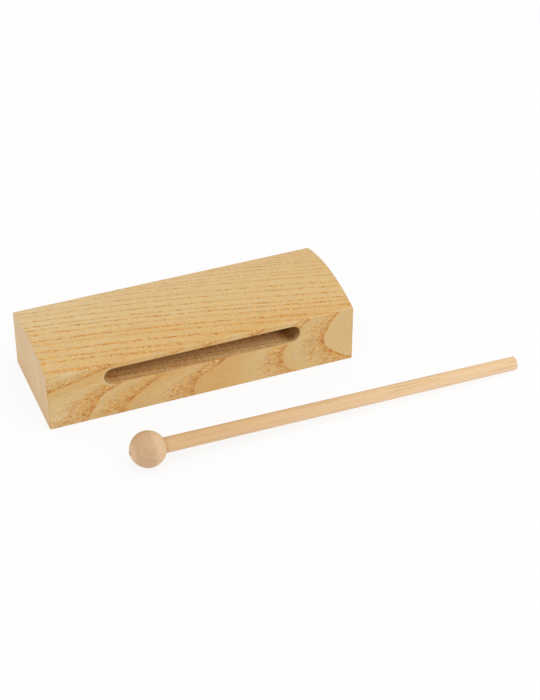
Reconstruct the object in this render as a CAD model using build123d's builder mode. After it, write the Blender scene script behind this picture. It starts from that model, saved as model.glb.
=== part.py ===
"""Slotted wood block with its ball mallet lying in front of it.

The block is one piece of ash: a bar with an arched top and a blind resonance slot milled into its front face.
The mallet is a turned ball glued onto a tapered round handle. It lies on the surface that the block stands on,
so it rests on its ball and on the edge of its butt.
The origin is the middle of the block's base, +X runs along the block, +Y from front to back and +Z up.
"""

import os
from math import asin, atan2, cos, degrees, hypot, radians, sin, sqrt

from build123d import *

# Block, in millimetres
block_length = 180.0
block_width = 67.0
side_height = 34.8  # front and back faces, from the base to the arch
arch_rise = 5.2  # crown of the arched top above its two long edges
sanded_radius = 0.6  # every outer edge

# Resonance slot in the front face
slot_length = 115.4
slot_height = 10.5  # diameter of the cutter, which also rounds the slot's two ends
slot_depth = 47.0
lip_thickness = 3.15  # wood between the slot and the arch's front edge
mouth_chamfer = 0.3

# Mallet
ball_diameter = 20.2
nub_diameter = 2.4  # where the ball was parted off, at the pole facing away from the handle
nub_height = 0.25
handle_head_diameter = 8.7
handle_butt_diameter = 7.9
handle_reach = 221.2  # centre of the ball to the end of the butt
butt_radius = 0.7
socket_depth = 12.5  # from the ball's widest reach to the floor of its socket
glue_clearance = 0.05  # round the handle in its socket

# Where the mallet lies
ball_from_left_end = 40.9  # along the block
ball_from_front_face = 47.0
handle_turn = 0.95  # degrees, away from the block's length and towards the block

os.makedirs("parts", exist_ok=True)


# Block: an arched bar with a slot that leaves a thin sounding lip under the arch
front_corner = (-block_width / 2, side_height)
back_corner = (block_width / 2, side_height)
crown = (0, side_height + arch_rise)
slot_middle = side_height - lip_thickness - slot_height / 2

with BuildPart() as block:
    with BuildSketch(Plane.YZ):
        with BuildLine():
            ThreePointArc(front_corner, crown, back_corner)
            Polyline(back_corner, (block_width / 2, 0), (-block_width / 2, 0), front_corner)
        make_face()
    extrude(amount=block_length / 2, both=True)
    fillet(block.edges(), radius=sanded_radius)

    with BuildSketch(Plane.XZ.offset(block_width / 2)):
        with Locations((0, slot_middle)):
            SlotOverall(slot_length, slot_height)
    extrude(amount=-slot_depth, mode=Mode.SUBTRACT)
    front_face = block.faces().filter_by(Axis.Y).sort_by(Axis.Y)[0]
    chamfer(front_face.inner_wires()[0].edges(), length=mouth_chamfer)

block.part.label = "block"
export_step(block.part, "parts/block.step")


# Mallet's rest: the ball and the rounded edge of the butt both touch the surface under the block
ball_radius = ball_diameter / 2
butt_arc_reach = handle_reach - butt_radius
butt_arc_radius = handle_butt_diameter / 2 - butt_radius
droop = asin((ball_radius - butt_radius) / hypot(butt_arc_reach, butt_arc_radius)) - atan2(
    butt_arc_radius, butt_arc_reach
)
turn = radians(handle_turn)
handle_way = Vector(cos(droop) * cos(turn), cos(droop) * sin(turn), -sin(droop))
ball_centre = Vector(
    ball_from_left_end - block_length / 2,
    -block_width / 2 - ball_from_front_face,
    ball_radius,
)
mallet_plane = Plane(origin=ball_centre, x_dir=handle_way, z_dir=(sin(turn), -cos(turn), 0))
mallet_axis = Axis(ball_centre, handle_way)

tenon_radius = handle_head_diameter / 2
socket_radius = tenon_radius + glue_clearance
socket_floor = ball_radius - socket_depth
socket_mouth = sqrt(ball_radius**2 - socket_radius**2)


# Mallet head: a turned ball with a blind socket towards the handle and a parting nub at the far pole
nub_radius = nub_diameter / 2
nub_foot = (-sqrt(ball_radius**2 - nub_radius**2), nub_radius)
nub_end = -ball_radius - nub_height

with BuildPart() as mallet_head:
    with BuildSketch(mallet_plane):
        with BuildLine():
            ThreePointArc((socket_mouth, socket_radius), (0, ball_radius), nub_foot)
            Polyline(
                nub_foot,
                (nub_end, nub_radius),
                (nub_end, 0),
                (socket_floor, 0),
                (socket_floor, socket_radius),
                (socket_mouth, socket_radius),
            )
        make_face()
    revolve(axis=mallet_axis)

mallet_head.part.label = "mallet_head"
export_step(mallet_head.part, "parts/mallet_head.step")


# Mallet handle: a straight tenon that seats on the socket's floor, then a taper to the rounded butt
with BuildPart() as mallet_handle:
    with BuildSketch(mallet_plane):
        with BuildLine():
            Polyline(
                (socket_floor, 0),
                (socket_floor, tenon_radius),
                (socket_mouth, tenon_radius),
                (handle_reach, handle_butt_diameter / 2),
                (handle_reach, 0),
                close=True,
            )
        make_face()
    revolve(axis=mallet_axis)
    butt_face = mallet_handle.faces().filter_by(GeomType.PLANE).sort_by(mallet_axis)[-1]
    fillet(butt_face.edges(), radius=butt_radius)

mallet_handle.part.label = "mallet_handle"
export_step(mallet_handle.part, "parts/mallet_handle.step")

print(f"handle droops {degrees(droop):.2f} degrees towards its butt")
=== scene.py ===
"""Looks of a slotted wood block and its ball mallet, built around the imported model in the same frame."""

from math import asin, atan2, cos, hypot, pi, radians, sin, sqrt
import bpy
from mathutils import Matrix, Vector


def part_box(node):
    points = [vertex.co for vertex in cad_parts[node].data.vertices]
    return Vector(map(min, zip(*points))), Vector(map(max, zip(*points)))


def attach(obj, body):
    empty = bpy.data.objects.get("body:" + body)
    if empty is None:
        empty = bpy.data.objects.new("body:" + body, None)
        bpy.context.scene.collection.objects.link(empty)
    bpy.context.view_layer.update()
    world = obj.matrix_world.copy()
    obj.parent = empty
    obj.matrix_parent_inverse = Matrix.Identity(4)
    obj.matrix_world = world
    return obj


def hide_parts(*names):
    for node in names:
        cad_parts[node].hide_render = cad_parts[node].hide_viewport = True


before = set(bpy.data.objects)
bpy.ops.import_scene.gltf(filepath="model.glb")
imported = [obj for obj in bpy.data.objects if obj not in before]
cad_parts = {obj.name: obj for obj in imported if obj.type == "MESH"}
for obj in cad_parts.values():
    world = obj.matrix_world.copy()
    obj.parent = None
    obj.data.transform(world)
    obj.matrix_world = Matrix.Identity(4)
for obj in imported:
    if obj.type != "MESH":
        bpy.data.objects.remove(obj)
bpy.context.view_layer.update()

from types import SimpleNamespace
from typing import NamedTuple

import bmesh
import bpy
from bpy.props import FloatProperty, FloatVectorProperty, PointerProperty
from mathutils import Matrix, Vector

bl_info = {
    "name": "Wood Block and Mallet",
    "version": (1, 0, 0),
    "blender": (4, 5, 0),
    "location": "View3D > Sidebar > Wood Block",
    "description": "Dresses the ash block and its turned mallet, and sets the stage for them",
    "category": "Object",
}

MM = 0.001
PER_METRE = 1000.0

block_low, block_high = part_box("block")
head_low, head_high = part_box("mallet_head")


# Nodes as Python expressions


def arithmetic(operation, swapped=False):
    """A method that adds the Math node of an operation, with its two terms as they stand or swapped."""

    def method(self, *others):
        terms = (*others, self) if swapped else (self, *others)
        return self.tree.math(operation, *terms)

    return method


class Value:
    """A node's output that takes part in Python arithmetic."""

    def __init__(self, tree, socket):
        self.tree = tree
        self.socket = socket

    __add__ = __radd__ = arithmetic("ADD")
    __mul__ = __rmul__ = arithmetic("MULTIPLY")
    __sub__ = arithmetic("SUBTRACT")
    __rsub__ = arithmetic("SUBTRACT", swapped=True)
    __truediv__ = arithmetic("DIVIDE")
    __rtruediv__ = arithmetic("DIVIDE", swapped=True)
    __pow__ = arithmetic("POWER")
    __gt__ = arithmetic("GREATER_THAN")
    __lt__ = arithmetic("LESS_THAN")
    __abs__ = arithmetic("ABSOLUTE")


def named(sockets, name):
    """The first socket in use that has the name or the identifier."""
    return next(s for s in sockets if s.enabled and name in (s.identifier, s.name))


class Tree:
    """Adds nodes to a shader or geometry tree, each with its settings, values and links in one call."""

    def __init__(self, node_tree):
        self.nodes = node_tree.nodes
        self.links = node_tree.links

    def node(self, kind, settings=None, inputs=None, output=None):
        """Adds a node, sets its settings and then its sockets, and returns the output or outputs named."""
        made = self.nodes.new(kind)
        for name, setting in (settings or {}).items():
            setattr(made, name, setting)
        for name, value in (inputs or {}).items():
            socket = named(made.inputs, name)
            if isinstance(value, Value):
                self.links.new(value.socket, socket)
            else:
                socket.default_value = value
        if isinstance(output, tuple):
            return [Value(self, named(made.outputs, name)) for name in output]
        if output:
            return Value(self, named(made.outputs, output))
        return next((Value(self, socket) for socket in made.outputs if socket.enabled), None)

    def math(self, operation, *terms):
        inputs = dict(zip(("Value", "Value_001"), terms))
        return self.node("ShaderNodeMath", {"operation": operation}, inputs)

    def vector(self, operation, inputs, output="Vector"):
        return self.node("ShaderNodeVectorMath", {"operation": operation}, inputs, output)

    def split(self, vector):
        return self.node("ShaderNodeSeparateXYZ", None, {"Vector": vector}, ("X", "Y", "Z"))

    def join(self, x, y, z):
        return self.node("ShaderNodeCombineXYZ", None, {"X": x, "Y": y, "Z": z})

    def distance(self, first, second):
        return (first * first + second * second) ** 0.5

    def blend(self, amount, first, second, how="MIX"):
        """Mixes two colours."""
        settings = {"data_type": "RGBA", "blend_type": how, "clamp_factor": True}
        inputs = {"Factor_Float": amount, "A_Color": first, "B_Color": second}
        return self.node("ShaderNodeMix", settings, inputs, "Result_Color")

    def ease(self, value, low, high, start=0.0, end=1.0):
        """Goes smoothly from start to end as value goes from low to high, or from high down to low."""
        settings = {"interpolation_type": "SMOOTHSTEP", "clamp": True}
        inputs = {"Value": value, "From Min": low, "From Max": high, "To Min": start, "To Max": end}
        return self.node("ShaderNodeMapRange", settings, inputs, "Result")

    def noise(self, place, scale=1.0, detail=2.0, roughness=0.5):
        inputs = {"Vector": place, "Scale": scale, "Detail": detail, "Roughness": roughness}
        return self.node("ShaderNodeTexNoise", None, inputs, "Fac")

    def cells(self, place):
        """Distance to the nearest of scattered points, one in each unit."""
        inputs = {"Vector": place, "Scale": 1.0}
        return self.node("ShaderNodeTexVoronoi", {"feature": "F1"}, inputs, "Distance")

    def chance(self, value):
        """A random number that stays the same for the same value."""
        return self.node("ShaderNodeTexWhiteNoise", {"noise_dimensions": "1D"}, {"W": value}, "Value")


def shader_tree(name):
    """A new empty material and the tree that fills it."""
    material = bpy.data.materials.new(name)
    material.use_nodes = True
    material.node_tree.nodes.clear()
    return material, Tree(material.node_tree)


def geometry_tree(name, labels):
    """A new geometry tree with one number for each label, its tree and those numbers."""
    group = bpy.data.node_groups.new(name, "GeometryNodeTree")
    group.interface.new_socket("Geometry", in_out="OUTPUT", socket_type="NodeSocketGeometry")
    for label in labels:
        group.interface.new_socket(label, in_out="INPUT", socket_type="NodeSocketFloat")
    tree = Tree(group)
    return group, tree, tree.node("NodeGroupInput", None, None, labels)


def finish_geometry(tree, geometry, material):
    """Ends a geometry tree with real faces of the material."""
    whole = tree.node("GeometryNodeRealizeInstances", None, {"Geometry": geometry})
    dressed = tree.node("GeometryNodeSetMaterial", None, {"Geometry": whole, "Material": material})
    tree.node("NodeGroupOutput", None, {"Geometry": dressed})


# Meshes

SHARP_ANGLE = radians(30)
ROUNDING_STEPS = 4


def link_new(name, data):
    """A new object in the scene with the mesh, light or camera."""
    made = bpy.data.objects.new(name, data)
    bpy.context.scene.collection.objects.link(made)
    return made


def grow(piece, group, sizes):
    """Gives a piece the modifier that makes its mesh from the sizes."""
    modifier = piece.modifiers.new(group.name, "NODES")
    modifier.node_group = group
    for socket in group.interface.items_tree:
        if socket.name in sizes:
            modifier[socket.identifier] = sizes[socket.name]


def settle(piece):
    """Turns what a piece's modifiers make into its plain mesh."""
    graph = bpy.context.evaluated_depsgraph_get()
    plain = bpy.data.meshes.new_from_object(
        piece.evaluated_get(graph), preserve_all_data_layers=True, depsgraph=graph
    )
    piece.modifiers.clear()
    piece.data = plain


def smooth(mesh):
    """Shades a mesh smoothly, but for its sharp edges."""
    mesh.shade_smooth()
    mesh.set_sharp_from_angle(angle=SHARP_ANGLE)


def round_edges(piece, radius, limit):
    """Makes a piece's mesh with edges rounded by weight or by angle, and shades its large faces flat."""
    rounding = piece.modifiers.new("Rounded edges", "BEVEL")
    rounding.limit_method = limit
    rounding.angle_limit = SHARP_ANGLE
    rounding.width = radius
    rounding.segments = ROUNDING_STEPS
    settle(piece)
    smooth(piece.data)
    weighted = piece.modifiers.new("Flat faces", "WEIGHTED_NORMAL")
    weighted.keep_sharp = True
    settle(piece)


def stand_for(piece, node, body):
    """The piece takes the place of a node of the frame."""
    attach(piece, body)
    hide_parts(node)


# Settings


def size_property(name, description, default):
    return FloatProperty(name=name, description=description, default=default, unit="LENGTH", precision=5)


def angle_property(name, description, degrees):
    return FloatProperty(name=name, description=description, default=radians(degrees), subtype="ANGLE")


def number_property(name, description, default):
    return FloatProperty(name=name, description=description, default=default)


def colour_property(name, description, default):
    return FloatVectorProperty(
        name=name, description=description, default=default, size=3, subtype="COLOR", min=0.0, max=1.0
    )


SIDE_HEIGHT = 0.0348


class BlockShape(bpy.types.PropertyGroup):
    """Sizes of the ash block."""

    length: size_property("Length", "Block from end to end", block_high.x - block_low.x)
    width: size_property("Width", "Block from front to back", block_high.y - block_low.y)
    side_height: size_property("Side Height", "Front and back faces, up to the arch", SIDE_HEIGHT)
    arch_rise: size_property("Arch Rise", "Crown above the top's long edges", block_high.z - SIDE_HEIGHT)
    edge_rounding: size_property("Edge Rounding", "Radius of the sanded outer edges", 0.0006)
    slot_length: size_property("Slot Length", "Slot from end to end", 0.1154)
    slot_height: size_property("Slot Height", "Slot from its sill to its lip", 0.0105)
    slot_depth: size_property("Slot Depth", "Front face to the slot's floor", 0.047)
    slot_middle: size_property("Slot Middle", "Height of the slot's middle line", 0.0264)
    mouth_easing: size_property("Mouth Easing", "Worn edge round the slot's mouth", 0.0002)
    mouth_fray: size_property("Mouth Fray", "Deepest chip along the slot's mouth", 0.0005)


class AshLook(bpy.types.PropertyGroup):
    """Growth rings and colours of the ash."""

    pith_behind: size_property("Pith Behind", "Pith behind the block's middle", 0.055)
    pith_swing: number_property("Pith Swing", "Pith's slope to the back along X", -0.135)
    pith_height: size_property("Pith Height", "Pith above the base at the middle", 0.0053)
    pith_climb: number_property("Pith Climb", "Pith's slope upwards along X", 0.126)
    latewood: colour_property("Latewood", "Dense pale wood between the rings", (0.729, 0.496, 0.213))
    end_grain: colour_property("End Grain", "Sawn ends of the block", (0.764, 0.522, 0.257))


class MalletShape(bpy.types.PropertyGroup):
    """Sizes of the mallet and the way that it lies."""

    ball_diameter: size_property("Ball Diameter", "Turned head", head_high.z - head_low.z)
    nub_diameter: size_property("Nub Diameter", "Where the ball was parted off", 0.0024)
    nub_height: size_property("Nub Height", "Nub above the ball", 0.00025)
    head_end_diameter: size_property("Handle at the Head", "Handle's diameter at the ball", 0.0087)
    butt_diameter: size_property("Handle at the Butt", "Handle's diameter at its free end", 0.0079)
    reach: size_property("Reach", "Ball's middle to the butt's end", 0.2212)
    butt_rounding: size_property("Butt Rounding", "Radius of the butt's edge", 0.0007)
    socket_depth: size_property("Socket Depth", "Socket's floor, from the ball's pole", 0.0125)
    turn: angle_property("Turn", "Handle's turn towards the block", 0.95)


class MalletLook(bpy.types.PropertyGroup):
    """Colours of the pale turned wood."""

    ball: colour_property("Ball", "Tan middle of the turned ball", (0.626, 0.403, 0.221))
    ball_pale: colour_property("Pale Ball", "Paler wood at both ends of the ball", (0.785, 0.540, 0.312))
    # Also the colour of the painted shade on the ball's upper side
    ball_ring: colour_property("Ball Rings", "Orange rings and crown of the ball", (0.590, 0.335, 0.145))
    handle: colour_property("Handle", "Handle near the butt", (0.900, 0.632, 0.372))
    handle_head: colour_property("Handle at the Head", "Handle near the ball", (0.735, 0.462, 0.229))
    streak: colour_property("Streaks", "Fine darker lines of the handle", (0.620, 0.350, 0.150))


class StageLook(bpy.types.PropertyGroup):
    """Camera and lights."""

    camera_distance: size_property("Camera Distance", "Camera from the block's base", 1.0997)
    camera_right: size_property("Camera Right", "Camera's shift to its right", 0.04885)
    camera_up: size_property("Camera Up", "Camera's shift upwards", 0.00564)
    azimuth: angle_property("Azimuth", "Camera's turn round the block", -21.57)
    elevation: angle_property("Elevation", "Camera's height over the floor", 36.48)
    focal_length: number_property("Focal Length", "Camera's lens, in millimetres", 98.51)
    sky: number_property("Sky", "Brightness of the white surroundings", 0.8)
    key: number_property("Key", "Power of the soft light overhead, in watts", 6.0)


class WoodBlockSettings(bpy.types.PropertyGroup):
    """All settings."""

    block: PointerProperty(type=BlockShape)
    ash: PointerProperty(type=AshLook)
    mallet: PointerProperty(type=MalletShape)
    mallet_look: PointerProperty(type=MalletLook)
    stage: PointerProperty(type=StageLook)


# Wood, drawn in millimetres

RELIEF = 0.04 * MM


class Figure(NamedTuple):
    """A noise drawn out along the fibres, whose shift sets it apart from the others."""

    length: float
    width: float
    shift: float = 0.0
    detail: float = 2.0
    roughness: float = 0.5


class Pores(NamedTuple):
    """Scattered long pores, each full and ended at shares of its room, and what is left between them."""

    length: float
    width: float
    shift: float
    full: float
    ended: float
    between: float = 0.0


class Grain(NamedTuple):
    """Coordinates along and across the fibres, and the figures and pores drawn on them."""

    tree: Tree
    along: Value
    across: Value
    up: Value

    def place(self, kind):
        """Coordinates in units of the length and width of a kind of figure or pore."""
        along = self.along / kind.length + kind.shift
        return self.tree.join(along, self.across / kind.width, self.up / kind.width + kind.shift)

    def figure(self, kind):
        """Noise about zero."""
        return self.tree.noise(self.place(kind), detail=kind.detail, roughness=kind.roughness) - 0.5

    def pores(self, kind):
        """1 in the pores and less between them."""
        return self.tree.ease(self.tree.cells(self.place(kind)), kind.full, kind.ended, 1.0, kind.between)


def opaque(colour):
    return (*colour, 1.0)


def finish_wood(tree, colour, roughness, height, strength):
    """Ends a material with a colour, a roughness and a fine relief."""
    normal = tree.node("ShaderNodeBump", None, {"Strength": strength, "Distance": RELIEF, "Height": height})
    finish = {"Base Color": colour, "Roughness": roughness, "Normal": normal}
    surface = tree.node("ShaderNodeBsdfPrincipled", None, finish)
    tree.node("ShaderNodeOutputMaterial", None, {"Surface": surface})


# Ash block's shape

BAR_SIZES = (
    "Length", "Width", "Side Height", "Arch Rise", "Slot Length", "Slot Height", "Slot Depth",
    "Slot Middle", "Mouth Easing", "Mouth Fray",
)
ARCH_STRIPS = 96
SLOT_END_STEPS = 24
# Just under half the slot's height, so that no points of the round ends fall together
SLOT_END_SHARE = 0.4999
CUTTER_LEAD = 5 * MM
MOUTH_STEPS = 640
# How far inside the slot's walls the mouth's cutter ends
MOUTH_SPARE = 0.02 * MM
# Scales of the mouth's torn and chipped edge, the ranges of noise that show, and the detail of both
TORN_SCALE = 420.0
TORN = (0.48, 0.7)
CHIP_SCALE = 700.0
CHIPS = (0.44, 0.62)
FRAY_DETAIL = (3.0, 0.7)
# Where the chips set in along the upper edge, as shares of half the slot's straight length
CHIPPED_STRETCH = (-0.55, -0.72)
# How far from the slot an edge counts as an outer one
ROUNDING_MARGIN = 2 * MM


def arched_bar_tree(material):
    """Bar with an arched top and a round-ended slot in its front, with a slightly frayed mouth."""
    group, tree, numbers = geometry_tree("Arched slotted bar", BAR_SIZES)
    length, width, side, rise, slot_length, slot_height, slot_depth, middle, easing, fray = numbers
    front = width * -0.5
    place = tree.node("GeometryNodeInputPosition")
    x, y, z = tree.split(place)

    # A box of narrow strips, whose top follows the arch
    strips = {"Vertices X": 2, "Vertices Y": ARCH_STRIPS + 1, "Vertices Z": 2}
    box = tree.node("GeometryNodeMeshCube", None, {"Size": tree.join(length, width, 1.0), **strips})
    arch_radius = (width * width / 4 + rise * rise) / (2 * rise)
    top = side + rise - arch_radius + (arch_radius * arch_radius - y * y) ** 0.5
    arched = tree.join(x, y, (z + 0.5) * top)
    bar = tree.node("GeometryNodeSetPosition", None, {"Geometry": box, "Position": arched})

    # The slot's cutter, swept from in front of the block to the slot's floor
    corners = {"Width": slot_length, "Height": slot_height}
    rectangle = tree.node("GeometryNodeCurvePrimitiveQuadrilateral", {"mode": "RECTANGLE"}, corners)
    ends = {"Count": SLOT_END_STEPS, "Radius": slot_height * SLOT_END_SHARE, "Limit Radius": True}
    outline = tree.node("GeometryNodeFilletCurve", {"mode": "POLY"}, {"Curve": rectangle, **ends})

    def sweep(profile, start, end):
        points = {"Start": tree.join(0.0, start, middle), "End": tree.join(0.0, end, middle)}
        path = tree.node("GeometryNodeCurvePrimitiveLine", {"mode": "POINTS"}, points)
        swept = {"Curve": path, "Profile Curve": profile, "Fill Caps": True}
        return tree.node("GeometryNodeCurveToMesh", None, swept)

    def cut(solid, cutter):
        settings = {"operation": "DIFFERENCE", "solver": "EXACT"}
        return tree.node("GeometryNodeMeshBoolean", settings, {"Mesh 1": solid, "Mesh 2": cutter})

    slotted = cut(bar, sweep(outline, front - CUTTER_LEAD, front + slot_depth))

    # A tapered cutter that eases the mouth's edge and frays it here and there
    steps = {"Curve": outline, "Count": MOUTH_STEPS}
    fine_outline = tree.node("GeometryNodeResampleCurve", {"mode": "COUNT"}, steps)
    plug = sweep(fine_outline, front - easing, front + easing)
    straight = (slot_length - slot_height) * 0.5
    nearest = tree.math("MINIMUM", tree.math("MAXIMUM", x, straight * -1), straight)
    outwards = tree.vector("NORMALIZE", {"Vector": tree.join(x - nearest, 0.0, z - middle)})
    torn = tree.ease(tree.noise(place, TORN_SCALE, *FRAY_DETAIL), *TORN)
    chips = tree.ease(tree.noise(place, CHIP_SCALE, *FRAY_DETAIL), *CHIPS)
    chipped = chips * (z > middle) * tree.ease(x, *(straight * share for share in CHIPPED_STRETCH))
    spread = (y < front) * 2 * (easing + (torn + chipped) * fray) - MOUTH_SPARE
    moved = tree.vector("SCALE", {"Vector": outwards, "Scale": spread})
    frayed = tree.node("GeometryNodeSetPosition", None, {"Geometry": plug, "Offset": moved})
    worked = cut(slotted, frayed)

    # Outer edges are marked for rounding, and the slot's are left as cut
    sharp = tree.node("GeometryNodeInputMeshEdgeAngle", None, None, "Unsigned Angle") > SHARP_ANGLE
    beside = abs(x) > slot_length * 0.5 + ROUNDING_MARGIN
    above = z > middle + slot_height * 0.5 + ROUNDING_MARGIN
    below = z < middle - slot_height * 0.5 - ROUNDING_MARGIN
    behind = y > front + slot_depth + ROUNDING_MARGIN
    outer = tree.math("MINIMUM", sharp, beside + above + below + behind)
    weights = {"Geometry": worked, "Name": "bevel_weight_edge", "Value": outer}
    marked = tree.node("GeometryNodeStoreNamedAttribute", {"data_type": "FLOAT", "domain": "EDGE"}, weights)
    finish_geometry(tree, marked, material)
    return group


# Ash block's faces and slot: each pair holds the distances where a part of it starts and is full

END_FACE = (0.25, 0.05)
ARCHED_TOP = (0.0, 0.6)
# Sanded arrises, partly painted shade: the bottom edges and upright corners are painted darker and more
# orange where the rounded edge turns from the light and meets the floor
SANDED_AND_SHADED_EDGE = (0.9, 0.25)

SLOT_WALL = (0.2, 0.1)
SLOT_MOUTH = (0.2, 0.6)
SLOT_FLOOR = (1.5, 0.5)
# Painted shade: the slot is painted darker from 8 to 14 millimetres in from the front
SLOT_DEEP = (8.0, 14.0)
# Painted shade on the slot's right end wall: where it sets in along the slot, and how far in from the front
SLOT_END_SHADE_ALONG = (-7.0, 1.0)
SLOT_END_SHADE_INWARDS = (0.4, 4.0)
SILL_INWARDS = (4.0, 0.5)
SILL_ALONG = (-56.0, -50.0)
# Paler rim round the slot's round ends: fresh-cut end grain, and a painted highlight where the eased edge
# faces the light
MOUTH_RIM = (0.9, 0.3)
ROUND_END = (0.0, 3.0)


def ash_faces(tree, block):
    """Coordinates on the block, and how far each place belongs to an end, the top, a side or an edge."""
    object_place = tree.node("ShaderNodeTexCoord", None, None, "Object")
    x, y, z = tree.split(tree.vector("SCALE", {"Vector": object_place, "Scale": PER_METRE}))
    end_gap = block.length * PER_METRE / 2 - abs(x)
    side_gap = block.width * PER_METRE / 2 - abs(y)
    above_sides = z - block.side_height * PER_METRE
    end = tree.ease(end_gap, *END_FACE)
    arch = tree.ease(above_sides, *ARCHED_TOP)
    on_top = arch * (1 - end)
    edge_gap = tree.math("MINIMUM", tree.math("MINIMUM", end_gap, side_gap) + z, end_gap + side_gap)
    # Sanded arrises with painted shade along the bottom edges and upright corners
    edge = tree.ease(edge_gap, *SANDED_AND_SHADED_EDGE)
    return SimpleNamespace(
        x=x, y=y, z=z, above_sides=above_sides, end=end, face=1 - end, arch=arch,
        on_top=on_top, on_side=1 - on_top, edge=edge,
    )


def ash_slot(tree, block, at):
    """How far each place belongs to the slot and to parts of it, among them painted shade deep inside and on
    the right end wall, and a partly painted highlight on the rim.
    """
    radius = block.slot_height * PER_METRE / 2
    straight = block.slot_length * PER_METRE / 2 - radius
    past_straight = tree.math("MAXIMUM", abs(at.x) - straight, 0.0)
    up = at.z - block.slot_middle * PER_METRE
    outside = tree.distance(past_straight, up) - radius
    into = at.y + block.width * PER_METRE / 2
    past_mouth = tree.ease(into, *SLOT_MOUTH)
    before_floor = tree.ease(into - block.slot_depth * PER_METRE, *SLOT_FLOOR)
    inside = tree.ease(outside, *SLOT_WALL) * past_mouth * before_floor
    # Painted shade on the slot's right end wall, darker and more orange
    slot_end_shade = inside * tree.ease(at.x - straight, *SLOT_END_SHADE_ALONG) * tree.ease(into, *SLOT_END_SHADE_INWARDS)
    sill = inside * tree.ease(into, *SILL_INWARDS) * tree.ease(at.x, *SILL_ALONG)
    # Paler rim round the slot's round ends, partly a painted highlight
    rim = tree.ease(outside, *MOUTH_RIM) * (1 - past_mouth) * tree.ease(past_straight, *ROUND_END)
    # Painted shade, darker deep inside the slot
    deep = inside * tree.ease(into, *SLOT_DEEP)
    return SimpleNamespace(inside=inside, deep=deep, slot_end_shade=slot_end_shade, sill=sill, rim=rim)


# Ash block's fibres and growth rings

FIBRE_FAN = 2.8e-3
FIBRE_FAN_BOW = 6.0e-6
FIBRE_FAN_FRONT = 76.0
FIBRE_CLIMB = 0.2
FIBRE_CLIMB_BOW = 5.0e-4

# Distance of each growth ring from the pith
RING_RADII = (
    15.0, 18.7, 22.5, 26.3, 30.2, 33.6, 38.0, 42.9, 46.2, 50.1, 56.4, 60.6,
    65.7, 70.0, 72.8, 76.2, 81.1, 83.9, 89.05, 92.15, 93.85, 98.5, 102.8,
)
# Rings that lean out or in: the heights where each lean starts and ends, and how far it goes
RING_BENDS = {
    81.1: ((9.0, 0.0, 0.55), (22.0, 34.0, 0.35)),
    83.9: ((10.0, 3.0, 0.2), (20.0, 34.0, 0.3)),
    89.05: ((12.0, 19.0, -0.7),),
    92.15: ((12.0, 5.0, 0.15),),
    93.85: ((6.0, 18.0, 0.65),),
}
PITH_SWING_BOW = -1.7e-4
PITH_CLIMB_BOW = 6.2e-4
RING_CROWDING = 1.34e-3
# The outer rings are set back a little above the front's upper edge
OUTER_RINGS = (77.5, 80.0)
SETBACK_RISE = (0.0, 2.4)
SETBACK = 0.9
# How rings wander: a figure, its reach all over and what the arched top adds to it
RING_WANDERS = ((Figure(22.0, 5.0, 13.0), 0.1, 1.1), (Figure(5.0, 1.6, 17.0), 0.15, 0.6))


def ash_grains(tree, at):
    """Fibres that fan out and climb along the block: for all of it, for its top and for its sides."""
    fan = tree.math("EXPONENT", at.x * (FIBRE_FAN + at.x * FIBRE_FAN_BOW))
    fibre_y = (at.y + FIBRE_FAN_FRONT) * fan
    fibre_z = at.z - at.x * (FIBRE_CLIMB + at.x * FIBRE_CLIMB_BOW)
    all_over = Grain(tree, at.x, fibre_y, fibre_z)
    return all_over, Grain(tree, at.x, fibre_y, at.z), Grain(tree, at.x, at.y, fibre_z)


def ash_rings(tree, look, at, grain):
    """Distance from the pith's line, distance past the last ring and that ring's random number."""
    x, y, z = at.x, at.y, at.z
    across = y - (look.pith_behind * PER_METRE + x * look.pith_swing + x * x * PITH_SWING_BOW)
    up = z - (look.pith_height * PER_METRE + x * look.pith_climb + x * x * PITH_CLIMB_BOW)
    radius = tree.distance(across, up) - x * y * RING_CROWDING
    setback = tree.ease(at.above_sides, *SETBACK_RISE, 0.0, SETBACK)
    radius = radius + setback * tree.ease(radius, *OUTER_RINGS)
    for figure, all_over, more_on_top in RING_WANDERS:
        radius = radius + grain.figure(figure) * (all_over + at.arch * more_on_top)
    last_ring = 0.0
    ring_count = 0.0
    for ring in RING_RADII:
        reach = ring
        for low, high, lean in RING_BENDS.get(ring, ()):
            reach = reach + tree.ease(z, low, high, 0.0, lean)
        passed = radius > reach
        last_ring = tree.math("MAXIMUM", last_ring, passed * reach)
        ring_count = ring_count + passed
    return SimpleNamespace(radius=radius, past=radius - last_ring, chance=tree.chance(ring_count))


# Ash block's pores, in bands past each ring

UNEVEN = Figure(6.0, 1.0, 11.0)
PATCHES = Figure(11.0, 2.2, 7.0)
PATCH_RANGE = (-0.16, 0.12, 0.35, 1.2)
RUNS = Figure(6.0, 1.6, 9.0, detail=3.0, roughness=0.6)
RUN_RANGE = (-0.12, 0.06, 0.12, 1.1)
RING_STRENGTH = 0.75
RING_STRENGTH_CHANCE = 0.45

# Where each band is full, where it ends, how uneven it is and how much its end differs by ring
FIRST_ROW = (0.0, 0.65, 0.3, 0.0)
SIDE_BAND = (0.7, 1.8, 0.8, 0.4)
TOP_BAND = (0.75, 1.25, 0.5, 0.0)

SIDE_PORES = Pores(2.7, 0.74, 0.0, 0.3, 0.42)
# Pale flecks beside the side pores: pale filled grain, and a painted highlight where the pores' grooves
# catch the light
SIDE_FLECKS_AND_GLINTS = Pores(2.5, 0.68, 5.0, 0.22, 0.36)
TOP_BEADS = Pores(1.4, 1.1, 5.0, 0.34, 0.6, between=0.15)
TOP_PORES = Pores(3.4, 1.6, 8.0, 0.1, 0.22)

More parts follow.
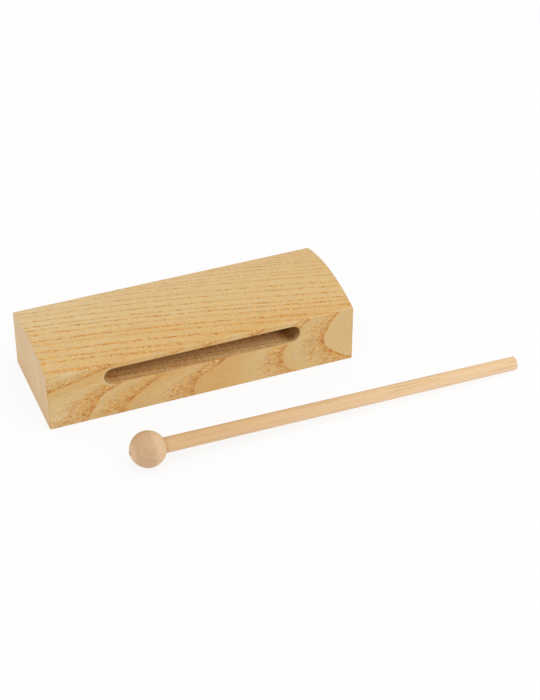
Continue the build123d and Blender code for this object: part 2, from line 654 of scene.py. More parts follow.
SIDE_BAND_DEPTH = 0.1
SIDE_PORE_DEPTH = 1.25
SIDE_FLECK_DEPTH = 0.55
SIDE_RIGHT_END = (50.0, 70.0, 1.0, 0.8)
TOP_BEAD_DEPTH = 0.95
TOP_PORE_DEPTH = 1.2
SLOT_PORES_LOST = 0.25

ROW_DEPTH = 0.14
ROW_START_DEPTH = 0.12
ROW_PORE_DEPTH = 0.6
ROW_PATCH_DEPTH = 0.22
END_ROW_LOST = 0.6
TOP_ROW_LOST = 0.6
SLOT_ROW_LOST = 0.15


def ash_pores(tree, at, slot, rings, grain, top_grain, side_grain):
    """Porous band of each ring: a close row of vessels and then looser ones, which are beads on the top."""
    uneven = grain.figure(UNEVEN)
    patch = tree.ease(grain.figure(PATCHES), *PATCH_RANGE)
    runs = tree.ease(top_grain.figure(RUNS), *RUN_RANGE)
    strength = RING_STRENGTH + rings.chance * RING_STRENGTH_CHANCE

    def band(full, end, unevenness, differing):
        end = end + rings.chance * differing
        return tree.ease(rings.past + uneven * unevenness, full, end, 1.0, 0.0)

    row = band(*FIRST_ROW)
    side_band = band(*SIDE_BAND) * patch * strength
    top_band = band(*TOP_BAND) * runs * strength

    pores = side_grain.pores(SIDE_PORES)
    # Pale flecks, partly painted highlights
    flecks = side_grain.pores(SIDE_FLECKS_AND_GLINTS) * (1 - pores)
    beads = top_grain.pores(TOP_BEADS)
    in_band = pores * SIDE_PORE_DEPTH + SIDE_BAND_DEPTH - flecks * SIDE_FLECK_DEPTH
    on_side = side_band * in_band * at.on_side * tree.ease(at.x, *SIDE_RIGHT_END)
    on_top = top_band * (beads * TOP_BEAD_DEPTH + top_grain.pores(TOP_PORES) * TOP_PORE_DEPTH) * at.on_top
    vessels = (on_side + on_top) * at.face * (1 - slot.inside * SLOT_PORES_LOST)

    patchy = patch * strength * ROW_PATCH_DEPTH
    row_depth = row * (ROW_DEPTH + row * ROW_START_DEPTH + pores * ROW_PORE_DEPTH + patchy)
    for part, lost in ((at.end, END_ROW_LOST), (at.on_top, TOP_ROW_LOST), (slot.inside, SLOT_ROW_LOST)):
        row_depth = row_depth * (1 - part * lost)
    return SimpleNamespace(
        row=row, row_depth=row_depth, vessels=vessels, flecks=flecks, side_band=side_band, top_band=top_band
    )


# Ash block's figure between the rings

FIGURES = {
    "clouds": Figure(60.0, 9.0, 3.0, detail=3.0),
    "streaks": Figure(14.0, 0.75, 2.0, detail=3.0, roughness=0.65),
    "fibres": Figure(5.0, 0.26, 1.0, roughness=0.6),
    "specks": Figure(1.3, 0.6, 6.0, roughness=0.6),
    "fuzz": Figure(1.1, 1.0, 4.0, roughness=0.6),
}
TOP_FIGURES = {"mottle": Figure(1.7, 1.3, 21.0, detail=1.0), "top_blush": Figure(2.4, 0.8, 41.0, detail=1.0)}
SIDE_FIGURES = {"feather": Figure(13.0, 1.5, 31.0), "side_blush": Figure(1.3, 1.0, 43.0, detail=1.0)}
# Streaks down the ends: their widths and the layers of noise that they come from
END_FIGURES = {"end_bands": (1.6, 1.0), "end_blush": (2.2, 3.0)}
END_LENGTH = 40.0
RIPPLE_WIDTH = 0.55
RIPPLE_LENGTH = 9.0
PIN_KNOT_PLACE = (-60.6, 1.6)
PIN_KNOT = (0.75, 0.35, 0.0, 1.3)


def ash_figures(tree, at, grains):
    """Noises of the wood between its rings, each about zero, and one pin knot on the top."""
    noises = {}
    for grain, kinds in zip(grains, (FIGURES, TOP_FIGURES, SIDE_FIGURES)):
        noises.update((name, grain.figure(kind)) for name, kind in kinds.items())
    ripple_place = tree.join(at.x / RIPPLE_WIDTH, at.y / RIPPLE_LENGTH, at.z / RIPPLE_LENGTH)
    noises["ripples"] = tree.noise(ripple_place, detail=1.0) - 0.5
    for name, (width, layer) in END_FIGURES.items():
        noises[name] = tree.noise(tree.join(layer, at.y / width, at.z / END_LENGTH)) - 0.5
    from_knot = tree.distance(at.x - PIN_KNOT_PLACE[0], at.y - PIN_KNOT_PLACE[1])
    return SimpleNamespace(**noises, pin_knot=tree.ease(from_knot, *PIN_KNOT) * at.on_top)


# Ash block's tint: depth takes away blue first and red last, shade all three alike, and blush turns the hue;
# the slot's hue is painted pinker as bounced light

TINT_SHARES = (0.19, 0.67, 1.7)
BLUSH_SHARES = (0.34, 0.26, -0.5)
# Painted bounced light: how much pinker the slot's hue is turned, for red, green and blue
SLOT_BOUNCE_SHARES = (0.005, -0.034, 0.0)
LEAST_DEPTH = -0.13
LEFT_CORNER = (-62.0, -84.0)

# Slow changes of depth: what each follows, where it starts and ends, and how much it adds
SIDE_DEPTH = 0.16
SIDE_DRIFTS = (("x", -30.0, 40.0, -0.06), ("x", *LEFT_CORNER, -0.09))
TOP_DRIFTS = (
    ("x", -20.0, -80.0, -0.08),
    ("x", 0.0, 70.0, 0.05),
    ("radius", 70.0, 84.0, 0.14),
    ("y", -25.0, -31.0, 0.1),
)
END_DRIFTS = (("z", 22.0, 0.0, 0.13), ("y", 10.0, -30.0, 0.05))

# Between the porous band and the next ring the outer rings are first paler and then darker
PALE_WOOD = (0.9, 1.4)
PALE_RINGS = (77.0, 80.0)
PALE_DEPTH = 0.12
LATE_WOOD = (1.4, 4.0)
LATE_RINGS = (82.0, 84.0)
LATE_DEPTH = 0.25

CLOUD_DEPTH = 0.2
STREAK_DEPTH = 0.45
FIBRE_DEPTH = 0.45
SPECK_DEPTH = 0.3
SLOT_FIGURE_LOST = 0.6
MOTTLE_DEPTH = (0.0, 25.0, 0.35, 0.55)
FEATHER_DEPTH = (-50.0, -72.0, 0.0, 0.9)
# How much the sanded arrises and their painted shade deepen the tint
SANDED_AND_SHADED_EDGE_DEPTH = 0.3
RIPPLE_DEPTH = 0.6
SLOT_PALER = 0.17
# How much the painted shade on the slot's right end wall deepens the tint
SLOT_END_SHADE_DEPTH = 0.47
KNOT_DEPTH = 0.5
# How much paler the rim is from the slot's left end to its right: end grain and a painted highlight,
# strongest at the left
RIM_GRAIN_AND_HIGHLIGHT = (-10.0, 10.0, 0.4, 0.05)

SLOT_SHADE = 0.13
RIPPLE_SHADE = 0.45
FUZZ_SHADE = 0.75
ROW_SHADE = 0.14
# How much the painted shade deep inside the slot darkens it
DEEP_SHADE = 0.2
SILL_SHADE = 0.12
# How much the painted shade on the slot's right end wall darkens it
SLOT_END_SHADE = 0.55
# How much the painted highlight brightens the pale flecks
FLECK_HIGHLIGHT = 0.07
END_BAND_SHADE = 0.22
END_SPECK_SHADE = 0.12
END_SHADE = 0.02
KNOT_SHADE = 0.4
# Painted shadow along the block's foot, full at the floor and gone 8 millimetres up, full left of -30 and
# gone right of 10 millimetres
SHADOWED_FOOT = (8.0, 0.5)
SHADOWED_FOOT_ALONG = (10.0, -30.0)
FOOT_SHADOW = 0.05
CORNER_SHADE = 0.03

ASH_ROUGHNESS = 0.5
VESSEL_ROUGHNESS = 0.12
FIBRE_ROUGHNESS = 0.1
FIBRE_HEIGHT = 0.5
STREAK_HEIGHT = 0.4
VESSEL_HEIGHT = 0.6
ASH_RELIEF = 0.4

END_BLUSH_SHARE = 0.5
TOP_BLUSH_SHARE = 0.8
TOP_BAND_BLUSH_SHARE = 1.3
SIDE_BLUSH_SHARE = 0.6
SLOT_BLUSH_LOST = 0.85


def ash_depth(tree, at, slot, rings, pores, figures):
    """Depth of tint all over the block, with painted shade on the slot's right end wall and along the bottom
    and upright edges, and paler places where highlights are painted on the slot's rim and on flecks.
    """
    places = {"x": at.x, "y": at.y, "z": at.z, "radius": rings.radius}

    def drift(drifts):
        return sum(tree.ease(places[name], low, high, 0.0, amount) for name, low, high, amount in drifts)

    out_of_slot = at.face * (1 - slot.inside * SLOT_FIGURE_LOST)
    pale = tree.ease(rings.past, *PALE_WOOD) * tree.ease(rings.radius, *PALE_RINGS)
    late = tree.ease(rings.past, *LATE_WOOD) * tree.ease(rings.radius, *LATE_RINGS)
    depth = (
        pores.row_depth
        + pores.vessels
        + at.on_side * at.face * (SIDE_DEPTH + drift(SIDE_DRIFTS))
        + at.on_top * drift(TOP_DRIFTS)
        + at.end * drift(END_DRIFTS)
        + at.on_side * (late * LATE_DEPTH - pale * PALE_DEPTH)
        + figures.clouds * CLOUD_DEPTH
        + figures.streaks * out_of_slot * STREAK_DEPTH
        + figures.fibres * at.face * FIBRE_DEPTH
        + figures.specks * out_of_slot * SPECK_DEPTH
        + figures.mottle * at.on_top * at.face * tree.ease(at.y, *MOTTLE_DEPTH)
        + figures.feather * at.on_side * at.face * tree.ease(at.x, *FEATHER_DEPTH)
        + figures.pin_knot * KNOT_DEPTH
        + at.edge * SANDED_AND_SHADED_EDGE_DEPTH
        - slot.inside * (figures.ripples * RIPPLE_DEPTH + figures.fuzz + SLOT_PALER)
        + slot.slot_end_shade * SLOT_END_SHADE_DEPTH
        - slot.rim * tree.ease(at.x, *RIM_GRAIN_AND_HIGHLIGHT)
    )
    return tree.math("MAXIMUM", depth, LEAST_DEPTH)


def ash_shade(tree, at, slot, pores, figures):
    """Light and dark of the wood apart from its tint: painted shade deep in the slot, on its right end wall
    and along the block's foot, painted highlights on the pale flecks, and a darker sill.
    """
    slot_shade = SLOT_SHADE + figures.ripples * RIPPLE_SHADE + figures.fuzz * FUZZ_SHADE
    end_shade = figures.end_bands * END_BAND_SHADE + figures.specks * END_SPECK_SHADE - END_SHADE
    # Painted shadow along the block's foot
    shadowed_foot = tree.ease(at.z, *SHADOWED_FOOT) * tree.ease(at.x, *SHADOWED_FOOT_ALONG)
    side_shade = (
        pores.side_band * pores.flecks * FLECK_HIGHLIGHT
        - shadowed_foot * FOOT_SHADOW
        - tree.ease(at.x, *LEFT_CORNER) * CORNER_SHADE
    )
    return (
        1
        + slot.inside * (slot_shade - pores.row * ROW_SHADE)
        - slot.deep * DEEP_SHADE
        - slot.sill * SILL_SHADE
        - slot.slot_end_shade * SLOT_END_SHADE
        + at.end * end_shade
        + at.on_side * side_shade
        - figures.pin_knot * KNOT_SHADE
    )


def ash_blush(at, slot, pores, figures):
    """Warmer and cooler flecks, strongest along the pores."""
    top_share = TOP_BLUSH_SHARE + pores.top_band * TOP_BAND_BLUSH_SHARE
    side_share = SIDE_BLUSH_SHARE + pores.side_band
    on_faces = figures.top_blush * at.on_top * top_share + figures.side_blush * at.on_side * side_share
    on_faces = on_faces * at.face * (1 - slot.inside * SLOT_BLUSH_LOST)
    return figures.end_blush * at.end * END_BLUSH_SHARE + on_faces


def ash_material(block, look):
    """Ring-porous ash: rings about a pith behind the block, each starting with a band of open pores."""
    material, tree = shader_tree("ash")
    at = ash_faces(tree, block)
    slot = ash_slot(tree, block, at)
    grains = ash_grains(tree, at)
    rings = ash_rings(tree, look, at, grains[0])
    pores = ash_pores(tree, at, slot, rings, *grains)
    figures = ash_figures(tree, at, grains)

    depth = ash_depth(tree, at, slot, rings, pores, figures)
    shade = ash_shade(tree, at, slot, pores, figures)
    blush = ash_blush(at, slot, pores, figures)
    # Painted bounced light turns the hue pinker inside the slot and on its right end wall
    slot_bounce_tint = slot.inside + slot.slot_end_shade
    tint = tree.join(*(
        tree.math("EXPONENT", depth * -share) * shade * (1 + blush * warm + slot_bounce_tint * glow)
        for share, warm, glow in zip(TINT_SHARES, BLUSH_SHARES, SLOT_BOUNCE_SHARES)
    ))
    plain = tree.blend(at.end, opaque(look.latewood), opaque(look.end_grain))
    colour = tree.blend(1.0, plain, tint, "MULTIPLY")
    roughness = ASH_ROUGHNESS + pores.vessels * VESSEL_ROUGHNESS + figures.fibres * FIBRE_ROUGHNESS
    height = figures.fibres * FIBRE_HEIGHT + figures.streaks * STREAK_HEIGHT - pores.vessels * VESSEL_HEIGHT
    finish_wood(tree, colour, roughness, height + slot.inside * figures.ripples, ASH_RELIEF)
    return material


class WOODBLOCK_OT_block(bpy.types.Operator):
    """Makes the slotted ash block"""

    bl_idname = "woodblock.block"
    bl_label = "Ash Block"

    def execute(self, context):
        settings = context.scene.wood_block
        shape = settings.block
        piece = link_new("ash_block", bpy.data.meshes.new("ash_block"))
        group = arched_bar_tree(ash_material(shape, settings.ash))
        grow(piece, group, {label: getattr(shape, label.lower().replace(" ", "_")) for label in BAR_SIZES})
        round_edges(piece, shape.edge_rounding, "WEIGHT")
        stand_for(piece, "block", "block")
        return {"FINISHED"}


# Mallet's shape

BALL_SIDES = 128
BALL_RINGS = 72
SOCKET_CLEARANCE = 0.05 * MM
SOCKET_EASING = 0.2 * MM
# The nub's softened end: how far below it each step is, and the share of the nub's radius there
NUB_STEPS = ((0.06 * MM, 0.97), (0.0, 0.85))
HANDLE_SIDES = 64
HANDLE_RINGS = 80
STICK_SIZES = (
    "Start X", "Start Y", "Start Z", "End X", "End Y", "End Z", "Head Radius", "Butt Radius", "Straight",
)


class MalletLie:
    """Where the mallet's ball and axis are, resting on the ball and on the edge of the butt."""

    def __init__(self, mallet):
        ball_radius = mallet.ball_diameter / 2
        arc_reach = mallet.reach - mallet.butt_rounding
        arc_radius = mallet.butt_diameter / 2 - mallet.butt_rounding
        drop = asin((ball_radius - mallet.butt_rounding) / hypot(arc_reach, arc_radius))
        droop = drop - atan2(arc_radius, arc_reach)
        self.way = Vector((cos(droop) * cos(mallet.turn), cos(droop) * sin(mallet.turn), -sin(droop)))
        nub_reach = ball_radius + mallet.nub_height
        side = mallet.nub_diameter / 2 * sin(droop)
        middle = (head_low + head_high) / 2
        self.centre = Vector((head_low.x + nub_reach * self.way.x + side, middle.y, ball_radius))
        level = Vector((-self.way.y, self.way.x, 0)).normalized()
        self.turned = Matrix((self.way, level, self.way.cross(level))).transposed()

    def place(self, along, out=0.0, angle=0.0):
        """A point by its distance along the axis from the ball's middle, and its place round the axis."""
        return self.centre + self.turned @ Vector((along, out * cos(angle), out * sin(angle)))


def lathe(name, lie, profile, sides):
    """A turned mesh, from a profile of (along, out) points that starts and ends on the axis."""
    shape = bmesh.new()
    rings = []
    for along, out in profile[1:-1]:
        rings.append([shape.verts.new(lie.place(along, out, 2 * pi * i / sides)) for i in range(sides)])
    ends = [shape.verts.new(lie.place(along)) for along, out in (profile[0], profile[-1])]
    for ring, following in zip(rings, rings[1:]):
        for i in range(sides):
            shape.faces.new((ring[i], ring[i - 1], following[i - 1], following[i]))
    for i in range(sides):
        shape.faces.new((ends[0], rings[0][i - 1], rings[0][i]))
        shape.faces.new((ends[1], rings[-1][i], rings[-1][i - 1]))
    bmesh.ops.recalc_face_normals(shape, faces=shape.faces)
    mesh = bpy.data.meshes.new(name)
    shape.to_mesh(mesh)
    shape.free()
    smooth(mesh)
    return mesh


def ball_profile(mallet):
    """Half section of the ball, from its socket's floor over its mouth and round to the nub."""
    radius = mallet.ball_diameter / 2
    nub = mallet.nub_diameter / 2
    bore = mallet.head_end_diameter / 2 + SOCKET_CLEARANCE
    floor = radius - mallet.socket_depth
    first = asin((bore + SOCKET_EASING) / radius)
    last = pi - asin(nub / radius)
    profile = [(floor, 0.0), (floor, bore), (radius * cos(first) - SOCKET_EASING, bore)]
    for i in range(BALL_RINGS + 1):
        angle = first + (last - first) * i / BALL_RINGS
        profile.append((radius * cos(angle), radius * sin(angle)))
    nub_end = -radius - mallet.nub_height
    profile += [(nub_end + below, nub * share) for below, share in NUB_STEPS]
    return profile + [(nub_end, 0.0)]


def tapered_stick_tree(material):
    """Round stick from the socket's floor to the butt, straight in the socket and then tapering."""
    group, tree, numbers = geometry_tree("Tapered stick", STICK_SIZES)
    head_radius, butt_radius, straight = numbers[6:]
    points = {"Start": tree.join(*numbers[:3]), "End": tree.join(*numbers[3:6])}
    line = tree.node("GeometryNodeCurvePrimitiveLine", {"mode": "POINTS"}, points)
    steps = {"Curve": line, "Count": HANDLE_RINGS}
    path = tree.node("GeometryNodeResampleCurve", {"mode": "COUNT"}, steps)
    share = tree.node("GeometryNodeSplineParameter", None, None, "Factor")
    tapered = tree.math("MAXIMUM", (share - straight) / (1 - straight), 0.0)
    radius = head_radius + (butt_radius - head_radius) * tapered
    sides = {"Resolution": HANDLE_SIDES, "Radius": 1.0}
    circle = tree.node("GeometryNodeCurvePrimitiveCircle", {"mode": "RADIUS"}, sides, "Curve")
    swept = {"Curve": path, "Profile Curve": circle, "Scale": radius, "Fill Caps": True}
    finish_geometry(tree, tree.node("GeometryNodeCurveToMesh", None, swept), material)
    return group


# Mallet's wood

# Side of the mallet that is turned up and to the back, as shares of level and up, on which painted shade
# makes the ball and the handle darker and more orange
UPPER_SIDE = (0.56, 0.83)
MALLET_ROUGHNESS = 0.5
MALLET_FLECK_ROUGHNESS = 0.1
MALLET_FLECK_HEIGHT = 0.5
MALLET_RELIEF = 0.35

BALL_WANDER = Figure(5.0, 5.0, detail=3.0)
BALL_MOTTLE = Figure(1.6, 1.1, 3.0, detail=3.0, roughness=0.6)
BALL_FIBRES = Figure(3.0, 0.25, 2.0)
BALL_FLECKS = Pores(1.6, 0.5, 0.0, 0.15, 0.34)
BALL_EDGE_WANDER = 2.2
BALL_PALE_HANDLE = (-2.0, 4.8)
BALL_PALE_NUB = (-7.4, -9.6, 0.0, 0.8)
BALL_SEAM_PLACE = 0.6
BALL_SEAM = (1.1, 0.2)
BALL_SEAM_PARTS = Figure(2.0, 2.0, 5.0)
BALL_SEAM_RANGE = (-0.1, 0.06)
# Painted shade on the ball's upper side, darker and more orange: where it starts and where it is full
BALL_SHADED_CROWN = (6.0, 10.0)
# The ball's growth rings lie across this direction, as shares of along, level and up
BALL_RING_WAY = (-0.1, -0.74, 0.63)
BALL_RING_SPACING = 1.9
BALL_RING_START = 40.0
BALL_RING_WANDER = 1.6
BALL_RING_AFTER = (0.22, 0.0)
BALL_RING_BEFORE = (0.55, 1.0)
BALL_NUB = (-9.96, -10.12)
# How much orange each mark of the ball has, the crown's being painted shade, how little its lines show in
# pale wood, and its light and dark
BALL_LINE_ORANGE = 0.34
BALL_SEAM_ORANGE = 0.5
BALL_CROWN_SHADE = 0.28
BALL_FLECK_ORANGE = 0.2
BALL_NUB_ORANGE = 0.8
BALL_LINES_LOST = 0.6
BALL_SHADE = 1.01
BALL_MOTTLE_SHADE = 0.26
BALL_FIBRE_SHADE = 0.12
BALL_NUB_SHADE = 0.04
BALL_FIBRE_HEIGHT = 0.5

HANDLE_STREAKS = Figure(45.0, 0.95, detail=3.0, roughness=0.6)
HANDLE_STREAK_RANGE = (-0.03, 0.16)
HANDLE_FIBRES = Figure(8.0, 0.25, 2.0)
HANDLE_FLECKS = Pores(6.0, 0.8, 0.0, 0.12, 0.26)
HANDLE_HALF = 3.8
# Darker and streaked within 2.2 millimetres of the ball: a glue line, and painted shade where the handle
# meets the ball
HANDLE_JOINT = (2.2, 0.0)
# Painted shade on the handle's upper side and painted light on its lower side: how much each takes from or
# gives to red, green and blue
HANDLE_SHADE_SHARES = (0.04, 0.06, 0.12)
HANDLE_LINE_STREAK = 0.55
HANDLE_FLECK_STREAK = 0.5
HANDLE_JOINT_STREAK = 0.3
HANDLE_CLEAN = 0.04
HANDLE_FIBRE_SHADE = 0.14
HANDLE_JOINT_SHADE = 0.1
HANDLE_FIBRE_HEIGHT = 0.6


def mallet_place(tree, lie):
    """Coordinates along the mallet's axis, level across it and up, from the ball's middle."""
    object_place = tree.node("ShaderNodeTexCoord", None, None, "Object")
    from_ball = tree.vector("SUBTRACT", {"Vector": object_place, "Vector_001": lie.centre})
    axes = ({"Vector": from_ball, "Vector_001": axis} for axis in lie.turned.transposed())
    return [tree.vector("DOT_PRODUCT", pair, "Value") * PER_METRE for pair in axes]


def upper_side(level, up):
    return level * UPPER_SIDE[0] + up * UPPER_SIDE[1]


def finish_turned(tree, colour, flecks, height):
    """Ends a material of the mallet, whose flecks are a little rougher and lower."""
    roughness = MALLET_ROUGHNESS + flecks * MALLET_FLECK_ROUGHNESS
    finish_wood(tree, colour, roughness, height - flecks * MALLET_FLECK_HEIGHT, MALLET_RELIEF)


def ball_material(lie, look):
    """Fine-grained hardwood, tan round the middle and paler towards the nub and the handle."""
    material, tree = shader_tree("mallet_head_wood")
    along, level, up = mallet_place(tree, lie)
    grain = Grain(tree, along, level, up)
    wander = grain.figure(BALL_WANDER)
    fibres = grain.figure(BALL_FIBRES)
    flecks = grain.pores(BALL_FLECKS)

    # Tan and pale wood, with a broken seam of orange where they meet
    warped = along + wander * BALL_EDGE_WANDER
    pale = tree.ease(warped, *BALL_PALE_HANDLE) + tree.ease(warped, *BALL_PALE_NUB)
    parts = tree.ease(grain.figure(BALL_SEAM_PARTS), *BALL_SEAM_RANGE)
    seam = tree.ease(abs(warped - BALL_SEAM_PLACE), *BALL_SEAM) * parts
    body = tree.blend(pale, opaque(look.ball), opaque(look.ball_pale))

    # Growth rings, the crown painted darker and more orange as shade on the ball's upper side, and the nub
    layer = up * BALL_RING_WAY[2] + level * BALL_RING_WAY[1] + along * BALL_RING_WAY[0]
    rings = tree.math("FRACT", (layer + wander * BALL_RING_WANDER + BALL_RING_START) / BALL_RING_SPACING)
    line = tree.ease(rings, *BALL_RING_AFTER) + tree.ease(rings, *BALL_RING_BEFORE)
    shaded_crown = tree.ease(upper_side(level, up), *BALL_SHADED_CROWN)
    nub = tree.ease(along, *BALL_NUB)
    orange = (
        line * BALL_LINE_ORANGE * (1 - pale * BALL_LINES_LOST)
        + seam * BALL_SEAM_ORANGE
        + shaded_crown * BALL_CROWN_SHADE
        + flecks * BALL_FLECK_ORANGE
        + nub * BALL_NUB_ORANGE
    )
    toned = tree.blend(orange, body, opaque(look.ball_ring))

    mottle = grain.figure(BALL_MOTTLE)
    shade = BALL_SHADE + mottle * BALL_MOTTLE_SHADE + fibres * BALL_FIBRE_SHADE - nub * BALL_NUB_SHADE
    colour = tree.blend(1.0, toned, tree.join(shade, shade, shade), "MULTIPLY")
    finish_turned(tree, colour, flecks, fibres * BALL_FIBRE_HEIGHT)
    return material


def handle_material(lie, look, mouth, reach):
    """Straight-grained hardwood, more orange towards the ball, with painted shade that makes its upper side
    darker and more orange and painted light that makes its lower side paler.
    """
    material, tree = shader_tree("mallet_handle_wood")
    along, level, up = mallet_place(tree, lie)
    grain = Grain(tree, along, level, up)
    tone = tree.ease(along, 0.0, reach * PER_METRE)
    lines = tree.ease(grain.figure(HANDLE_STREAKS), *HANDLE_STREAK_RANGE)
    flecks = grain.pores(HANDLE_FLECKS)
    fibres = grain.figure(HANDLE_FIBRES)
    # Painted shade and light: 1 on the handle's upper side, in shade, and -1 on its lower side, lit from
    # below
    side = tree.ease(upper_side(level, up), -HANDLE_HALF, HANDLE_HALF, -1.0, 1.0)
    # A glue line and painted shade where the handle meets the ball
    glue_and_shade_at_joint = tree.ease(along - mouth * PER_METRE, *HANDLE_JOINT)

    pale = tree.blend(tone, opaque(look.handle_head), opaque(look.handle))
    streak = lines * HANDLE_LINE_STREAK + flecks * HANDLE_FLECK_STREAK + glue_and_shade_at_joint * HANDLE_JOINT_STREAK
    streaked = tree.blend(streak - HANDLE_CLEAN, pale, opaque(look.streak))
    shade = 1 + fibres * HANDLE_FIBRE_SHADE - glue_and_shade_at_joint * HANDLE_JOINT_SHADE
    tint = tree.join(*(shade * (1 - side * share) for share in HANDLE_SHADE_SHARES))
    colour = tree.blend(1.0, streaked, tint, "MULTIPLY")
    finish_turned(tree, colour, flecks, fibres * HANDLE_FIBRE_HEIGHT)
    return material


class WOODBLOCK_OT_mallet_head(bpy.types.Operator):
    """Makes the turned ball of the mallet"""

    bl_idname = "woodblock.mallet_head"
    bl_label = "Mallet Head"

    def execute(self, context):
        settings = context.scene.wood_block
        lie = MalletLie(settings.mallet)
        mesh = lathe("mallet_ball", lie, ball_profile(settings.mallet), BALL_SIDES)
        piece = link_new("mallet_ball", mesh)
        piece.data.materials.append(ball_material(lie, settings.mallet_look))
        stand_for(piece, "mallet_head", "mallet")
        return {"FINISHED"}


class WOODBLOCK_OT_mallet_handle(bpy.types.Operator):
    """Makes the tapered handle of the mallet"""

    bl_idname = "woodblock.mallet_handle"
    bl_label = "Mallet Handle"

    def execute(self, context):
        settings = context.scene.wood_block
        mallet = settings.mallet
        lie = MalletLie(mallet)
        ball_radius = mallet.ball_diameter / 2
        head_radius = mallet.head_end_diameter / 2
        floor = ball_radius - mallet.socket_depth
        mouth = sqrt(ball_radius**2 - head_radius**2)
        straight = (mouth - floor) / (mallet.reach - floor)
        radii = (head_radius, mallet.butt_diameter / 2)
        sizes = (*lie.place(floor), *lie.place(mallet.reach), *radii, straight)
        piece = link_new("mallet_stick", bpy.data.meshes.new("mallet_stick"))
        material = handle_material(lie, settings.mallet_look, mouth, mallet.reach)
        grow(piece, tapered_stick_tree(material), dict(zip(STICK_SIZES, sizes)))
        round_edges(piece, mallet.butt_rounding, "ANGLE")
        stand_for(piece, "mallet_handle", "mallet")
        return {"FINISHED"}


# Stage

WHITE = (1.0, 1.0, 1.0, 1.0)
FLOOR_PAPER = (0.85, 0.85, 0.85, 1.0)
FLOOR_SIZE = 8.0
FLOOR_GAP = 0.05 * MM
FLOOR_WHITE = 0.85
FLOOR_GLOW = 0.4
SKY_FRONT = (-0.365, -0.931, 0.0)
SKY_LEAN = 0.125
SOFTBOX_SIZE = 1.2
SOFTBOX_PLACE = (0.3, -0.5, 1.7)
CAMERA_CLIP_END = 50.0


def seen_by_camera(tree):
    """1 where the camera sees the stage, also in gloss or through glass, and 0 where it gives light."""
    rays = ("Is Camera Ray", "Is Glossy Ray", "Is Transmission Ray")
    camera, glossy, through = tree.node("ShaderNodeLightPath", None, None, rays)
    return tree.math("MAXIMUM", tree.math("MAXIMUM", camera, glossy), through)


def floor_material():
    """White floor that lights the object from below and keeps a faint shadow under it."""
    material, tree = shader_tree("studio_floor")
    seen = seen_by_camera(tree)
    paper = tree.node("ShaderNodeBsdfDiffuse", None, {"Color": tree.blend(seen, FLOOR_PAPER, WHITE)})
    white = tree.node("ShaderNodeEmission", None, {"Color": WHITE, "Strength": 1.0})
    glow = FLOOR_GLOW + seen * (FLOOR_WHITE - FLOOR_GLOW)
    mixed = tree.node("ShaderNodeMixShader", None, {"Fac": glow, "Shader": paper, "Shader_001": white})
    tree.node("ShaderNodeOutputMaterial", None, {"Surface": mixed})
    return material


def lay_floor():
    """A large floor just under the object."""
    ground = bmesh.new()
    bmesh.ops.create_grid(ground, x_segments=1, y_segments=1, size=FLOOR_SIZE / 2)
    bmesh.ops.translate(ground, verts=ground.verts, vec=(0, 0, -FLOOR_GAP))
    mesh = bpy.data.meshes.new("studio_floor")
    ground.to_mesh(mesh)
    ground.free()
    mesh.materials.append(floor_material())
    link_new("studio_floor", mesh)


def white_world(strength):
    """White surroundings, brighter towards the front, which look plain white to the camera."""
    world = bpy.data.worlds.new("studio")
    world.use_nodes = True
    world.node_tree.nodes.clear()
    tree = Tree(world.node_tree)
    seen = seen_by_camera(tree)
    way = tree.node("ShaderNodeTexCoord", None, None, "Generated")
    facing = tree.vector("DOT_PRODUCT", {"Vector": way, "Vector_001": SKY_FRONT}, "Value")
    brightness = seen + (1 - seen) * strength * (1 + facing * SKY_LEAN)
    white = tree.node("ShaderNodeBackground", None, {"Color": WHITE, "Strength": brightness})
    tree.node("ShaderNodeOutputWorld", None, {"Surface": white})
    return world


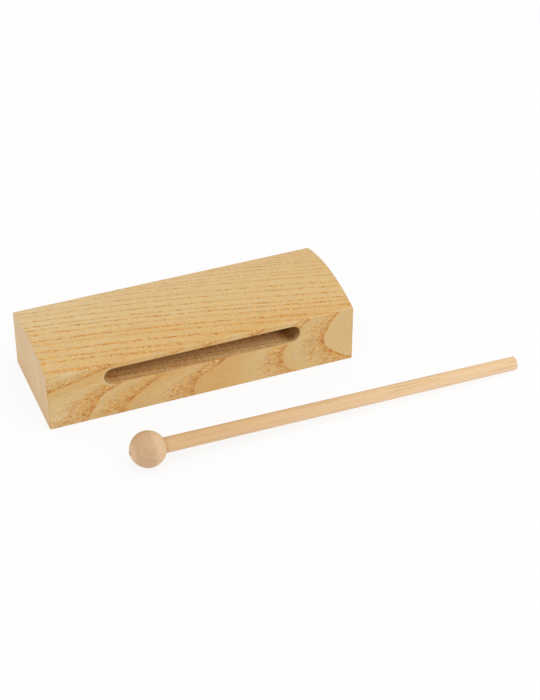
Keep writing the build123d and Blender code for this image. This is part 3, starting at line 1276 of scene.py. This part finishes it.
def hang_softbox(power):
    """A large round light above the front, aimed at the block."""
    softbox = bpy.data.lights.new("softbox", "AREA")
    softbox.energy = power
    softbox.shape = "DISK"
    softbox.size = SOFTBOX_SIZE
    lamp = link_new("softbox", softbox)
    lamp.location = SOFTBOX_PLACE
    lamp.rotation_euler = (-Vector(SOFTBOX_PLACE)).to_track_quat("-Z", "Y").to_euler()


def set_camera(scene, stage):
    """The camera, placed in its own axes from the middle of the block's base."""
    lens = bpy.data.cameras.new("camera")
    lens.lens = stage.focal_length
    lens.clip_end = CAMERA_CLIP_END
    camera = link_new("camera", lens)
    camera.rotation_euler = (pi / 2 - stage.elevation, 0.0, stage.azimuth)
    shift = Vector((stage.camera_right, stage.camera_up, stage.camera_distance))
    camera.location = camera.rotation_euler.to_matrix() @ shift
    scene.camera = camera


class WOODBLOCK_OT_stage(bpy.types.Operator):
    """Sets the floor, the lights and the camera"""

    bl_idname = "woodblock.stage"
    bl_label = "Stage"

    def execute(self, context):
        scene = context.scene
        stage = scene.wood_block.stage
        lay_floor()
        scene.world = white_world(stage.sky)
        hang_softbox(stage.key)
        set_camera(scene, stage)
        scene.view_settings.view_transform = "Standard"
        return {"FINISHED"}


# Panel and registration


class WOODBLOCK_PT_sidebar(bpy.types.Panel):
    """Lists what builds the wood block"""

    bl_label = "Wood Block"
    bl_idname = "WOODBLOCK_PT_sidebar"
    bl_space_type = "VIEW_3D"
    bl_region_type = "UI"
    bl_category = "Wood Block"

    def draw(self, context):
        for operator in OPERATORS:
            self.layout.operator(operator.bl_idname)


OPERATORS = (WOODBLOCK_OT_block, WOODBLOCK_OT_mallet_head, WOODBLOCK_OT_mallet_handle, WOODBLOCK_OT_stage)
GROUPS = (BlockShape, AshLook, MalletShape, MalletLook, StageLook, WoodBlockSettings)
CLASSES = (*GROUPS, *OPERATORS, WOODBLOCK_PT_sidebar)


def register():
    for made in CLASSES:
        bpy.utils.register_class(made)
    bpy.types.Scene.wood_block = PointerProperty(type=WoodBlockSettings)


def unregister():
    del bpy.types.Scene.wood_block
    for made in reversed(CLASSES):
        bpy.utils.unregister_class(made)


def main():
    register()
    bpy.ops.woodblock.block()
    bpy.ops.woodblock.mallet_head()
    bpy.ops.woodblock.mallet_handle()
    bpy.ops.woodblock.stage()


if __name__ == "__main__":
    main()
